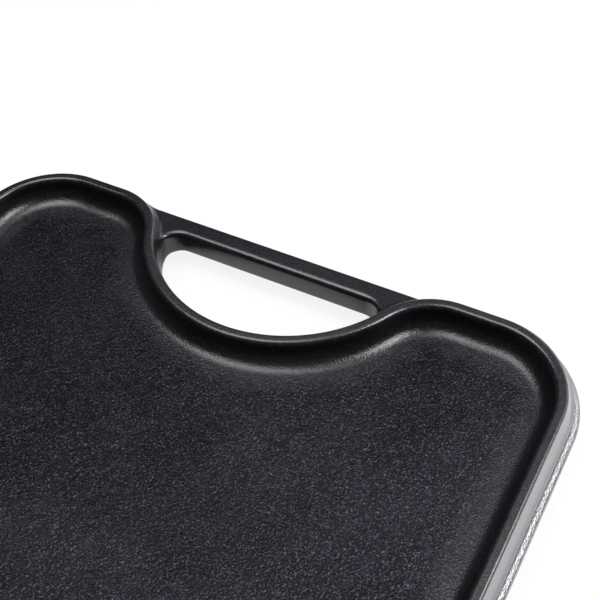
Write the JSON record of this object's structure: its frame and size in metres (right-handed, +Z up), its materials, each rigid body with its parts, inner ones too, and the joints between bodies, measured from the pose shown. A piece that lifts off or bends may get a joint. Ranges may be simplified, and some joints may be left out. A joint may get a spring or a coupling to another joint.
{
  "type": "griddle plate",
  "caption": "Cast iron camp griddle plate: smooth rimmed tray above, grill ribs below, and a hand hole closed by a bar in each end.",
  "frame": {"origin": "middle of the plate on the plane its lower rim stands on", "axes": "+X along the length towards the front handle, +Y across the width, +Z up out of the smooth tray"},
  "size_m": [0.508, 0.2666, 0.022],
  "materials": {
    "seasoned_iron": "sand cast, black seasoned"
  },
  "bodies": {
    "root": {"deck_plate": "seasoned_iron", "griddle_rim": "seasoned_iron", "grill_rim": "seasoned_iron", "grill_ribs": "seasoned_iron", "front_handle_bar": "seasoned_iron", "rear_handle_bar": "seasoned_iron"}
  },
  "joints": []
}
